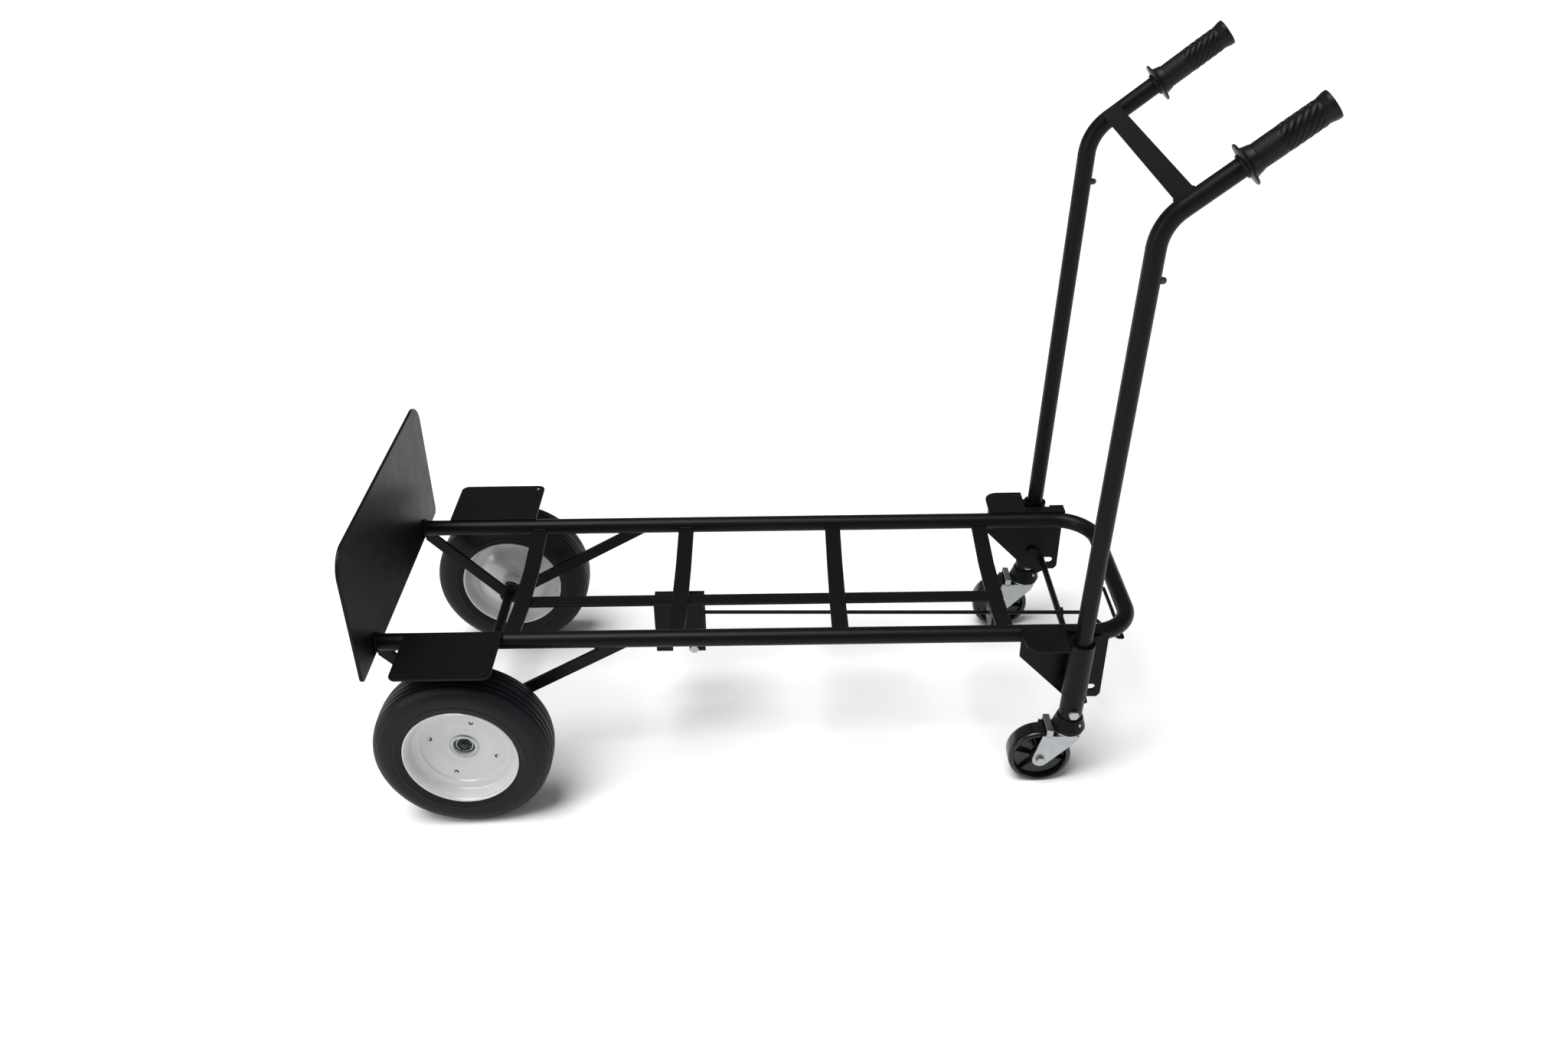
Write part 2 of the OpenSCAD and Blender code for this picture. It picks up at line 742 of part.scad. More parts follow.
module caster_wheel(side) {
  half = caster_w / 2;
  rim_in = caster_r - 9;
  web = 4;
  color(grip_black) on_caster(side) translate([-caster_trail, 0, -caster_drop])
    turned_y([[9, half], [caster_hub_r, half], [caster_hub_r, web], [rim_in, web],
              [rim_in, half - 2], [caster_r - 3, half - 1], [caster_r, half - 5],
              [caster_r, -half + 5], [caster_r - 3, -half + 1], [rim_in, -half + 2],
              [rim_in, -web], [caster_hub_r, -web], [caster_hub_r, -half], [9, -half]]);
}

module caster_bush(side)
  color(zinc) on_caster(side) translate([-caster_trail, -fork_in + gap, -caster_drop])
    ring_y(caster_axle_r + fit, 9 - fit, 2 * (fork_in - gap));

// ---- Latch release ----

module release_rod()
  color(black_coat) on_deck() on_rod() bar_x(rod_r, rod_front - latch_x, rod_rear - latch_x);

// Narrow pull of round wire, its base just beyond the loop's end tube
module pull_loop() {
  color(black_coat) on_deck() on_rod() translate([-latch_x, 0, -loop_wire_r])
    linear_extrude(2 * loop_wire_r) difference() {
      offset(r = loop_wire_r, $fn = 24) pull_outline();
      offset(delta = -loop_wire_r) pull_outline();
    }
}

module pull_outline()
  polygon([[rod_rear - 2, 4], [loop_back - 19, loop_half - 11], [loop_back - 9, loop_half - 1],
           [loop_back - 3, loop_half - 1], [loop_back, loop_half - 8],
           [loop_back, 8 - loop_half], [loop_back - 3, 1 - loop_half],
           [loop_back - 9, 1 - loop_half], [loop_back - 19, 11 - loop_half], [rod_rear - 2, -4]]);

module latch_bar() {
  tab_t = 4;
  drop = rod_h - latch_h;
  color(black_coat) on_deck() on_rod() difference() {
    union() {
      translate([0, 0, -drop]) bar_y(latch_r, -latch_half, latch_half);
      translate([-tab_t / 2, -6, -drop]) cube([tab_t, 12, drop + 6]);
    }
    bar_x(rod_r, -latch_r, latch_r);
  }
}

// Washer fixed near the rod's front end, on which the spring pushes
module rod_collar()
  color(zinc) on_deck() on_rod() translate([spring_front - 3 - latch_x, 0, 0]) difference() {
    bar_x(8.5, 0, 2.9);
    bar_x(rod_r, -deep, 3 + deep);
  }

// One ring of points round the spring's wire, at the angle a along its helix
function spring_ring(a, turns) = let (
    x = spring_front + spring_wire_r + (spring_seat_x - spring_front - 2 * spring_wire_r) * a / turns / 360)
  [for (b = [0 : 60 : 300]) let (q = spring_coil_r + spring_wire_r * cos(b))
    [x + spring_wire_r * sin(b), q * cos(a), q * sin(a)]];

module latch_spring() {
  sides = 6;
  step = 30;
  rings = [for (a = [0 : step : spring_turns * 360]) spring_ring(a, spring_turns)];
  last = len(rings) - 1;
  points = [for (ring = rings) each ring];
  walls = [for (i = [0 : last - 1]) for (j = [0 : sides - 1])
    let (k = (j + 1) % sides)
      [i * sides + j, (i + 1) * sides + j, (i + 1) * sides + k, i * sides + k]];
  ends = [[for (j = [0 : sides - 1]) j], [for (j = [sides - 1 : -1 : 0]) last * sides + j]];
  color(zinc) on_deck() on_rod() translate([-latch_x, 0, 0]) polyhedron(points, concat(walls, ends));
}

// ---- Assembly ----

frame_tube();
for (k = [1 : 4])
  cross_strap(k);
spine_bar();
toe_plate();
axle();
spring_bracket();
bracket_bolt();
rod_guide();
pivot_bolts();
pivot_nuts();
axle_washers();
axle_end_caps();
for (side = [1, -1]) {
  name = side > 0 ? "_left" : "_right";
  wheel_brace(side);
  wheel_guard(side);
  pivot_bracket(side);
  tyre(side);
  rim_outer(side);
  rim_inner(side);
  hub(side);
  bearings(side);
  handle_tube(side);
  grip(side);
  leg_tube(side);
  caster_cup(side);
  caster_fork(side);
  caster_race(side);
  caster_bolt(side);
  caster_wheel(side);
  caster_bush(side);
}
handle_crossbar();
leg_collars();
leg_bushes();
cam_plates();
leg_bolts();
stop_buttons();
release_rod();
pull_loop();
latch_bar();
rod_collar();
latch_spring();
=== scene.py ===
import json
import math

import bmesh
import bpy
from mathutils import Matrix, Vector, noise


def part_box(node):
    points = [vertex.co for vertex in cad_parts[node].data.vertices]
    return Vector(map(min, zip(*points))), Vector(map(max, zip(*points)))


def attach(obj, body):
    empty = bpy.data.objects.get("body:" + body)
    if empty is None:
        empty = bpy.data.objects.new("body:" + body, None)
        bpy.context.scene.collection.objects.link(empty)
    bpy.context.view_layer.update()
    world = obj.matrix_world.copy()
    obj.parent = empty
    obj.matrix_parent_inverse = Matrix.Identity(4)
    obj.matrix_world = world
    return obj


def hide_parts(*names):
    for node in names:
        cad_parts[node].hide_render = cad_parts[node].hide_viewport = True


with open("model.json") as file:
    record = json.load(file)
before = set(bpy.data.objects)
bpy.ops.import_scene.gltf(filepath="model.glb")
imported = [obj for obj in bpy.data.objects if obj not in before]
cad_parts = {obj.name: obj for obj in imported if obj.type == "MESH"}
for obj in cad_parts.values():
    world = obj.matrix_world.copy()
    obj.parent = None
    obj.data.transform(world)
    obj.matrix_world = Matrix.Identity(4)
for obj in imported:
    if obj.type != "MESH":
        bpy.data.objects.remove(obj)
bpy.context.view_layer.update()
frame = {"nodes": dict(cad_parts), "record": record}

# ---- The frame tube and the finish that covers it ----
# The deck is one length of 25 mm steel tube, bent to a U and cut square where the toe plate
# is welded on. Frame, handle and brackets are sprayed together with black powder and baked,
# which leaves a satin skin with a very fine orange peel.
MM = 0.001
joints = {j["name"]: j for j in frame["record"]["behaviour"]["joints"]}
rod_x = Vector(joints["latch_release"]["axis"]).normalized()
ROD_SLOPE = math.radians(1)
deck_x = Matrix.Rotation(-ROD_SLOPE, 3, "Y") @ rod_x
deck_z = deck_x.cross(Vector((0, 1, 0))).normalized()
axle_low, axle_high = (Vector(c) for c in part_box("axle"))
axle_middle = (axle_low + axle_high) / 2
leg_z = Vector(joints["caster_left_swivel"]["axis"]).normalized()
leg_x = Vector((0, 1, 0)).cross(leg_z).normalized()
pivot = Vector(joints["handle_fold"]["pos_m"])
SIDES = (("left", 1), ("right", -1))


def frame_at(origin, along_x, along_z):
    """A matrix with its X and Z turned to the two directions, Y across the truck."""
    m = Matrix.Identity(4)
    for row in range(3):
        m[row][0], m[row][1], m[row][2] = along_x[row], (0, 1, 0)[row], along_z[row]
        m[row][3] = origin[row]
    return m


ON_DECK = frame_at(axle_middle, deck_x, deck_z)
ON_HANDLE = frame_at(pivot, leg_x, leg_z)


def deck(x, y, z):
    return ON_DECK @ Vector((x * MM, y * MM, z * MM))


def handle(x, y, z):
    return ON_HANDLE @ Vector((x * MM, y * MM, z * MM))


def finish(name, colour, roughness, metallic=0.0, coat=0.0, fleck=None, fleck_size=40.0,
           fleck_amount=0.3, rough_swing=0.08, grain=900.0, grain_depth=0.00004, shine=0.5):
    """A painted, plated or moulded surface: a little uneven in tint and gloss, with fine grain."""
    m = bpy.data.materials.new(name)
    m.use_nodes = True
    nodes, links = m.node_tree.nodes, m.node_tree.links
    body = nodes["Principled BSDF"]
    body.inputs["Metallic"].default_value = metallic
    body.inputs["Specular IOR Level"].default_value = shine
    body.inputs["Coat Weight"].default_value = coat
    body.inputs["Coat Roughness"].default_value = 0.12
    place = nodes.new("ShaderNodeTexCoord")
    cloud = nodes.new("ShaderNodeTexNoise")
    cloud.inputs["Scale"].default_value = fleck_size
    cloud.inputs["Detail"].default_value = 5.0
    links.new(place.outputs["Object"], cloud.inputs["Vector"])
    tint = nodes.new("ShaderNodeMix")
    tint.data_type = "RGBA"
    tint.inputs["A"].default_value = (*colour, 1.0)
    tint.inputs["B"].default_value = (*(fleck or [c * 1.35 for c in colour]), 1.0)
    share = nodes.new("ShaderNodeMapRange")
    share.inputs["From Min"].default_value = 0.42
    share.inputs["From Max"].default_value = 0.75
    share.inputs["To Max"].default_value = fleck_amount
    links.new(cloud.outputs["Fac"], share.inputs["Value"])
    links.new(share.outputs["Result"], tint.inputs["Factor"])
    links.new(tint.outputs["Result"], body.inputs["Base Color"])
    gloss = nodes.new("ShaderNodeMapRange")
    gloss.inputs["From Min"].default_value = 0.3
    gloss.inputs["From Max"].default_value = 0.7
    gloss.inputs["To Min"].default_value = max(0.02, roughness - rough_swing)
    gloss.inputs["To Max"].default_value = roughness + rough_swing
    links.new(cloud.outputs["Fac"], gloss.inputs["Value"])
    links.new(gloss.outputs["Result"], body.inputs["Roughness"])
    peel = nodes.new("ShaderNodeTexNoise")
    peel.inputs["Scale"].default_value = grain
    peel.inputs["Detail"].default_value = 2.0
    links.new(place.outputs["Object"], peel.inputs["Vector"])
    bump = nodes.new("ShaderNodeBump")
    bump.inputs["Strength"].default_value = 0.6
    bump.inputs["Distance"].default_value = grain_depth
    links.new(peel.outputs["Fac"], bump.inputs["Height"])
    links.new(bump.outputs["Normal"], body.inputs["Normal"])
    return m


black_steel = finish("black_powder_coat", (0.0036, 0.0036, 0.004), 0.38,
                     fleck=(0.0052, 0.005, 0.005), rough_swing=0.03, grain_depth=0.00005,
                     shine=0.11)


def dress(node, material):
    """Gives a CAD node a material and leaves its shape alone."""
    mesh = frame["nodes"][node].data
    mesh.materials.clear()
    mesh.materials.append(material)


def add(name, mesh, material, body, slot, *nodes):
    """Puts a finished piece on its body, in the place of the CAD nodes named."""
    obj = bpy.data.objects.new(name, mesh)
    bpy.context.scene.collection.objects.link(obj)
    mesh.materials.clear()
    mesh.materials.append(material)
    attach(obj, body)
    if nodes:
        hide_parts(*nodes)
    return obj


def soft_shaded(mesh, angle=32):
    mesh.shade_smooth()
    mesh.set_sharp_from_angle(angle=math.radians(angle))


def eased(node, width, material, body, slot, steps=2):
    """The pressed or sawn piece itself, its corners rounded over as deburring and paint do."""
    mesh = frame["nodes"][node].data.copy()
    bm = bmesh.new()
    bm.from_mesh(mesh)
    bmesh.ops.remove_doubles(bm, verts=bm.verts, dist=2e-6)
    bmesh.ops.dissolve_limit(bm, angle_limit=math.radians(2), verts=bm.verts, edges=bm.edges)
    bm.to_mesh(mesh)
    bm.free()
    soft_shaded(mesh, 25)
    obj = add(node + "_eased", mesh, material, body, slot, node)
    bevel = obj.modifiers.new("rounded_edges", "BEVEL")
    bevel.width = width * MM
    bevel.segments = steps
    bevel.limit_method = "ANGLE"
    bevel.angle_limit = math.radians(35)
    bevel.harden_normals = True
    return obj


dress("frame_tube", black_steel)

# ---- Cross straps, spine bar and their welds ----
# Four flat bars are bent down a little in the middle, so that a round load can't roll off,
# and are welded between the rails. A fifth flat bar runs under them and stiffens the deck.
# Each weld is a short hand-laid bead, painted over with the rest.


def bead(name, points, radius, body):
    """A weld: a thin run of metal whose ripples follow the torch."""
    pitch = 1.5 * MM
    path = [points[0]]
    for a, b in zip(points, points[1:]):
        count = max(1, round((b - a).length / pitch))
        path += [a.lerp(b, k / count) for k in range(1, count + 1)]
    curve = bpy.data.curves.new(name, "CURVE")
    curve.dimensions = "3D"
    curve.bevel_depth = radius * MM
    curve.bevel_resolution = 3
    curve.use_fill_caps = True
    spline = curve.splines.new("POLY")
    spline.points.add(len(path) - 1)
    for k, p in enumerate(path):
        wander = 0.12 * noise.noise(p * 700)
        taper = 0.7 if k in (0, len(path) - 1) else 1.0
        spline.points[k].co = (*p, 1)
        spline.points[k].radius = taper * (1.0 + wander + (0.14 if k % 2 else -0.1))
    obj = bpy.data.objects.new(name, curve)
    bpy.context.scene.collection.objects.link(obj)
    curve.materials.append(black_steel)
    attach(obj, body)


RAIL_Y, RAIL_H, RAIL_R = 156.0, 137.5, 12.7
STRAP_X = [70.0 + 242.0 * k for k in range(4)]
STRAP_END_TOP = 137.8
for k, x in enumerate(STRAP_X, 1):
    eased("cross_strap_%d" % k, 0.7, black_steel, "frame", "black_steel")
    for side, sign in SIDES:
        y = sign * (RAIL_Y - RAIL_R - 0.2)
        bead("strap_%d_weld_top_%s" % (k, side),
             [deck(x - 11, y, STRAP_END_TOP + 0.8), deck(x + 11, y, STRAP_END_TOP + 0.8)],
             1.6, "frame")
        for end, edge in (("front", -13), ("rear", 13)):
            bead("strap_%d_weld_%s_%s" % (k, end, side),
                 [deck(x + edge, y, STRAP_END_TOP - 4), deck(x + edge, y, STRAP_END_TOP)],
                 1.4, "frame")
eased("spine_bar", 0.7, black_steel, "frame", "black_steel")
SPINE_Y, SPINE_TOP = -35.5, 121.4
for k, x in enumerate(STRAP_X, 1):
    for edge in (-12.6, 12.6):
        bead("spine_weld_%d_%s" % (k, "front" if edge < 0 else "rear"),
             [deck(x + edge, SPINE_Y - 10, SPINE_TOP + 0.4),
              deck(x + edge, SPINE_Y + 10, SPINE_TOP + 0.4)], 1.3, "frame")

# ---- Toe plate ----
# A 5 mm steel plate with two large rounded corners, welded square across the ends of the
# rails. It carries the load's foot when the truck is stood up on its two wheels.


def ring_points(place, centre, radius):
    """Points round a circle in the YZ plane of a place matrix, in millimetres."""
    found = []
    for a in range(0, 361, 8):
        c, s = math.cos(math.radians(a)), math.sin(math.radians(a))
        found.append(place @ Vector((centre[0] * MM, (centre[1] + radius * c) * MM,
                                     (centre[2] + radius * s) * MM)))
    return found


eased("toe_plate", 1.1, black_steel, "frame", "black_steel", steps=3)
for side, sign in SIDES:
    bead("toe_weld_" + side,
         ring_points(ON_DECK, (-121.4, sign * RAIL_Y, RAIL_H), RAIL_R + 0.4), 2.2, "frame")

# ---- Wheel guards and axle braces ----
# A flat guard over each tyre is welded along the rail's top, with one hole to hang it by in
# the paint line. Under each rail, two flat bars run down to the axle and carry the wheels.
for side, sign in SIDES:
    eased("wheel_guard_" + side, 0.8, black_steel, "frame", "black_steel")
    bead("guard_weld_" + side,
         [deck(-57, sign * 166.5, 149.6), deck(48, sign * 166.5, 149.6)], 1.7, "frame")
    eased("wheel_brace_" + side, 0.8, black_steel, "frame", "black_steel")
    for end, x in (("front", -108), ("rear", 205)):
        bead("brace_weld_%s_%s" % (end, side),
             [deck(x - 12, sign * (RAIL_Y + 3.6), RAIL_H - 12.6),
              deck(x + 12, sign * (RAIL_Y + 3.6), RAIL_H - 12.6)], 1.8, "frame")
dress("axle", black_steel)

# ---- Tyres ----
# Each tyre is moulded rubber on a 260 mm outline: five tread ribs with grooves between them,
# a square shoulder, a full sidewall with two raised rings, and a bead that sits in the rim.
rubber = finish("tyre_rubber", (0.0052, 0.0062, 0.0078), 0.46, fleck=(0.0088, 0.0098, 0.0115),
                fleck_size=22.0, fleck_amount=0.5, rough_swing=0.08, grain=1500.0,
                grain_depth=0.0001, shine=0.14)


def turned(name, outline, place, material, body, slot, *nodes, steps=128, angle=32):
    """A piece turned about Y. The outline is [radius, distance along Y] in millimetres."""
    mesh = bpy.data.meshes.new(name)
    bm = bmesh.new()
    rings = []
    for i in range(steps):
        c, s = math.cos(2 * math.pi * i / steps), math.sin(2 * math.pi * i / steps)
        rings.append([bm.verts.new(place @ Vector((r * c * MM, y * MM, r * s * MM)))
                      for r, y in outline])
    for i in range(steps):
        a, b = rings[i], rings[(i + 1) % steps]
        for k in range(len(outline)):
            n = (k + 1) % len(outline)
            bm.faces.new((a[k], a[n], b[n], b[k]))
    bmesh.ops.remove_doubles(bm, verts=bm.verts, dist=1e-6)
    bmesh.ops.recalc_face_normals(bm, faces=bm.faces)
    bm.to_mesh(mesh)
    bm.free()
    soft_shaded(mesh, angle)
    return add(name, mesh, material, body, slot, *nodes)


def mirrored(half):
    """A closed outline from one half, whose points run outward along +Y."""
    return [[r, y] for r, y in half] + [[r, -y] for r, y in reversed(half)]


def wheel_place(side, sign):
    """The middle of a main wheel, with local Y pointing outboard."""
    return (ON_DECK @ Matrix.Translation((0, sign * 222 * MM, 0))
            @ Matrix.Diagonal((1, sign, 1, 1)))


TYRE_HALF = [[129.8, 4.6], [126.6, 5.2], [126.6, 7.4], [129.7, 8.0], [129.4, 13.6],
             [126.4, 14.2], [126.2, 16.2], [128.9, 16.8], [128.2, 21.6], [125.6, 22.1],
             [125.2, 24.0], [127.3, 24.6], [126.6, 26.6], [124.4, 29.6], [121.8, 31.8],
             [120.9, 31.9], [120.2, 32.8], [117.0, 34.6], [112.0, 36.2], [107.0, 36.8],
             [101.0, 36.6], [97.0, 36.1], [95.6, 36.7], [94.4, 36.6], [93.2, 35.5],
             [90.0, 34.9], [87.4, 33.6], [85.6, 33.2], [84.6, 31.5]]
for side, sign in SIDES:
    turned("tyre_moulded_" + side, mirrored(TYRE_HALF), wheel_place(side, sign), rubber,
           "main_wheel_" + side, "tyre_rubber", "tyre_" + side, steps=192, angle=28)

# ---- Wheel rims, hubs and bearings ----
# Each wheel is two steel pressings, rolled at the edge to hold the tyre and stepped down to
# the middle, welded to a hub tube that holds two sealed ball bearings. The pressings and the
# hub are enamelled off-white, and the outer one has four small holes, drawn as flat black
# discs of painted shade in place of openings.
enamel = finish("rim_enamel", (0.50, 0.51, 0.505), 0.26, coat=0.3, fleck=(0.43, 0.435, 0.42),
                fleck_size=14.0, fleck_amount=0.3, rough_swing=0.05, grain=500.0,
                grain_depth=0.00005)
zinc = finish("zinc_plate", (0.34, 0.365, 0.37), 0.3, metallic=1.0, fleck=(0.46, 0.47, 0.46),
              fleck_size=60.0, fleck_amount=0.5, rough_swing=0.08, grain=1200.0)
# Black rubber for the bearing seals and the push-on nuts; the same black also fills the rim holes
# as painted shade.
seal_rubber_and_painted_hole_shade = finish("seal_rubber_and_painted_hole_shade", (0.004, 0.004, 0.0045), 0.28, coat=0.15, shine=0.3)

RIM_OUTER = [[84.0, 31.0], [84.4, 33.4], [83.6, 34.6], [82.0, 34.6], [80.6, 33.4],
             [79.4, 29.5], [78.2, 23.0], [76.6, 19.8], [74.6, 18.4], [73.4, 16.4],
             [71.0, 15.6], [65.0, 14.6], [62.6, 13.8], [61.4, 11.8], [58.0, 11.2],
             [44.0, 9.6], [34.0, 8.4], [31.6, 6.9], [27.0, 6.5], [22.5, 6.4],
             [18.2, 6.4], [18.2, 4.6], [27.0, 4.8], [44.0, 7.4], [56.5, 9.1],
             [66.0, 11.8], [73.5, 15.2], [76.2, 22.0], [77.8, 29.4], [79.0, 32.0],
             [81.8, 32.2]]
RIM_INNER = [[84.0, -31.0], [84.4, -33.4], [83.6, -34.6], [82.0, -34.6], [80.6, -33.4],
             [79.2, -29.0], [77.4, -21.0], [74.0, -16.5], [66.0, -15.0], [60.0, -18.0],
             [52.0, -25.0], [42.0, -28.0], [28.0, -28.6], [18.2, -28.6], [18.2, -26.6],
             [41.0, -26.0], [51.0, -23.2], [58.6, -16.4], [65.6, -13.2], [75.2, -14.8],
             [79.0, -20.6], [81.0, -28.8], [82.0, -31.5]]
HUB = [[12.2, -36.0], [16.1, -36.2], [16.1, -48.8], [17.0, -49.0], [18.0, -48.0], [18.0, 6.6],
       [17.3, 7.9], [16.5, 8.0], [16.1, 7.0], [16.1, -9.0], [12.2, -9.2]]
HUB_RING = [[16.2, 8.0], [17.9, 8.0], [18.2, 7.2], [18.2, 6.5], [21.0, 6.5], [21.0, 7.3],
            [20.2, 7.9], [18.9, 8.3], [17.4, 8.6], [16.2, 8.3]]


RIM_HOLE_CIRCLE = 50.0


def small_turned(name, outline, place, material, body, slot, steps=40):
    turned(name, outline, place, material, body, slot, steps=steps)


for side, sign in SIDES:
    place, body = wheel_place(side, sign), "main_wheel_" + side
    turned("rim_outer_pressed_" + side, RIM_OUTER, place, enamel, body, "rim_enamel",
           "rim_outer_" + side, steps=160, angle=40)
    turned("rim_inner_pressed_" + side, RIM_INNER, place, enamel, body, "rim_enamel",
           "rim_inner_" + side, steps=160, angle=40)
    turned("hub_turned_" + side, HUB, place, enamel, body, "rim_enamel", "hub_" + side,
           steps=64)
    dress("bearings_" + side, zinc)
    turned("hub_lip_" + side, HUB_RING, place, zinc, body, "zinc_steel", steps=72)
    turned("bearing_seal_" + side, [[9.0, 2.6], [10.2, 3.1], [14.6, 3.1], [15.7, 2.5],
                                    [15.7, 1.6], [9.0, 1.6]],
           place, seal_rubber_and_painted_hole_shade, body, "trim_plastic", steps=64)
    # Each rim hole is a flat black disc set into the pressing: painted shade standing in for the
    # opening.
    for k in range(4):
        turn = Matrix.Rotation(math.radians(20 + 90 * k), 4, "Y")
        spot = place @ turn @ Matrix.Translation((RIM_HOLE_CIRCLE * MM, 0, 0))
        small_turned("rim_hole_painted_shade_%d_%s" % (k + 1, side),
                     [[0.01, 10.2], [2.5, 10.3], [3.1, 10.7], [3.5, 10.5], [3.5, 9.0],
                      [0.01, 9.0]], spot, seal_rubber_and_painted_hole_shade, body, "trim_plastic", steps=28)

# ---- Axle washers and end caps ----
# The wheels turn between loose washers. A black push-on nut is driven over each end of the
# axle, inside the hub's mouth: six sprung petals round a domed middle bite into the shaft.
eased("axle_washers", 0.4, zinc, "frame", "zinc_steel")
CAP_DOME = [[0.01, 7.9], [3.0, 7.7], [5.4, 6.9], [6.4, 5.9], [6.6, 5.0], [0.01, 5.0]]
CAP_PLATE = [[0.01, 5.4], [8.0, 5.3], [10.6, 4.9], [11.4, 4.2], [11.4, 3.95], [0.01, 3.95]]
for side, sign in SIDES:
    place = wheel_place(side, sign)
    turned("axle_nut_" + side, CAP_PLATE, place, seal_rubber_and_painted_hole_shade, "frame", "black_steel", steps=48)
    turned("axle_dome_" + side, CAP_DOME, place, seal_rubber_and_painted_hole_shade, "frame", "black_steel",
           *(["axle_end_caps"] if side == "left" else []), steps=48)
    for k in range(6):
        spot = (place @ Matrix.Rotation(math.radians(60 * k), 4, "Y")
                @ Matrix.Translation((8.6 * MM, 0, 0)) @ Matrix.Diagonal((1, 1, 0.8, 1)))
        small_turned("axle_petal_%d_%s" % (k + 1, side),
                     [[0.01, 6.7], [1.4, 6.5], [2.3, 5.8], [2.5, 4.6], [0.01, 4.6]],
                     spot, seal_rubber_and_painted_hole_shade, "frame", "black_steel", steps=20)

# ---- Pivot brackets ----
# A folded steel plate is welded to the outside of each rail: its wall carries the handle's
# pivot bolt and the slot for the latch bar, and its top flange braces the leg.
for side, sign in SIDES:
    eased("pivot_bracket_" + side, 0.9, black_steel, "frame", "black_steel")
    bead("bracket_weld_" + side,
         [deck(822, sign * 168.2, RAIL_H - 8.6), deck(934, sign * 168.2, RAIL_H - 8.6)],
         1.6, "frame")
eased("pivot_bolts", 2.2, black_steel, "frame", "black_steel", steps=4)
dress("pivot_nuts", zinc)

# ---- Spring bracket and rod guide ----
# A folded channel hangs from the second strap and holds the latch spring, closed below by
# one cross bolt. A hanger with a hole guides the release rod under the last strap.
for node, width in (("spring_bracket", 0.8), ("rod_guide", 0.6)):
    eased(node, width, black_steel, "frame", "black_steel")
eased("bracket_bolt", 0.5, zinc, "frame", "zinc_steel")

# ---- Latch: release rod, spring, latch bar and pull loop ----
# A hand pulls the wire loop past the deck's end, the rod draws the cross bar out of its
# hooks against a coil spring, and the handle can then fold. All of it is round bar, bent
# cold and welded; only the spring is bright.
ROD_H, BAR_X, BAR_H = 60.9, 914.0, 49.0
COIL_FROM, COIL_LENGTH, COIL_R, COIL_TURNS, COIL_STEPS = 293.0, 42.0, 6.5, 9, 24


def wire(name, points, radius, material, body, node):
    """A round wire along points, as a curve with a round section."""
    curve = bpy.data.curves.new(name, "CURVE")
    curve.dimensions = "3D"
    curve.bevel_depth = radius * MM
    curve.bevel_resolution = 6
    curve.use_fill_caps = True
    spline = curve.splines.new("POLY")
    spline.points.add(len(points) - 1)
    for k, p in enumerate(points):
        spline.points[k].co = (*p, 1)
    obj = bpy.data.objects.new(name, curve)
    bpy.context.scene.collection.objects.link(obj)
    curve.materials.append(material)
    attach(obj, body)
    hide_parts(node)


def rounded(corners, radii, steps):
    """A polyline whose inner corners are swapped for arcs, in millimetres."""
    path = [Vector(corners[0])]
    for k in range(1, len(corners) - 1):
        a, b, c = (Vector(corners[k + d]) for d in (-1, 0, 1))
        u, v = (a - b).normalized(), (c - b).normalized()
        half = u.angle(v) / 2
        back = radii[k - 1] / math.tan(half)
        centre = b + (u + v).normalized() * (radii[k - 1] / math.sin(half))
        start, stop = b + u * back - centre, b + v * back - centre
        for i in range(steps + 1):
            path.append(centre + start.slerp(stop, i / steps))
    path.append(Vector(corners[-1]))
    return path


dress("release_rod", black_steel)


def on_rod(x, y, z):
    """A point by the release rod, its X measured along the deck as elsewhere."""
    drop = math.tan(ROD_SLOPE) * (x - BAR_X)
    return deck(x, y, ROD_H - drop + z)


loop_corners = [(956, -3), (979, -60), (989, -72), (999, -68), (999, 68), (989, 72),
                (979, 60), (956, 3)]
loop_path = rounded([(x, y, 0) for x, y in loop_corners], [5, 6, 4, 4, 6, 5], steps=5)
wire("pull_loop_wire", [on_rod(*p) for p in loop_path], 2.9, black_steel, "release",
     "pull_loop")
bead("pull_loop_weld", [on_rod(948, 0, 3.0), on_rod(959, 0, 3.0)], 1.5, "release")
eased("latch_bar", 0.8, black_steel, "release", "black_steel")
for side, sign in SIDES:
    tip = ON_DECK @ Matrix.Translation((BAR_X * MM, 0, BAR_H * MM)) @ Matrix.Diagonal(
        (1, sign, 1, 1))
    small_turned("latch_bar_tip_" + side,
                 [[0.01, 177.2], [4.4, 177.2], [5.15, 176.4], [5.15, 170.4], [0.01, 170.4]],
                 tip, zinc, "release", "zinc_steel")
eased("rod_collar", 0.4, zinc, "release", "zinc_steel")
spring_path = []
for k in range(COIL_TURNS * COIL_STEPS + 1):
    turn = 2 * math.pi * k / COIL_STEPS
    x = COIL_FROM + COIL_LENGTH * k / (COIL_TURNS * COIL_STEPS)
    spring_path.append(on_rod(x, COIL_R * math.cos(turn), COIL_R * math.sin(turn)))
wire("latch_spring_coil", spring_path, 1.0, zinc, "frame", "latch_spring")

# ---- Legs, collars and cam plates ----
# Each leg is a short thick tube with a collar welded round it. The collar turns on the pivot
# bolt, a hooked plate welded to its inner side takes the latch bar, and plastic rings inside
# hold the handle tube central.
for side, sign in SIDES:
    dress("leg_tube_" + side, black_steel)
eased("leg_collars", 0.7, black_steel, "handle", "black_steel")
eased("cam_plates", 0.7, black_steel, "handle", "black_steel")
matt_plastic = finish("matt_plastic", (0.02, 0.02, 0.022), 0.55)
dress("leg_bushes", matt_plastic)
eased("leg_bolts", 0.6, zinc, "handle", "zinc_steel")
HANDLE_Y = 197.0
for side, sign in SIDES:
    ring = []
    for k in range(37):
        a = 2 * math.pi * k / 36
        ring.append(handle(17.5 * math.cos(a), sign * HANDLE_Y + 17.5 * math.sin(a), -8.6))
    bead("collar_weld_" + side, ring, 1.1, "handle")

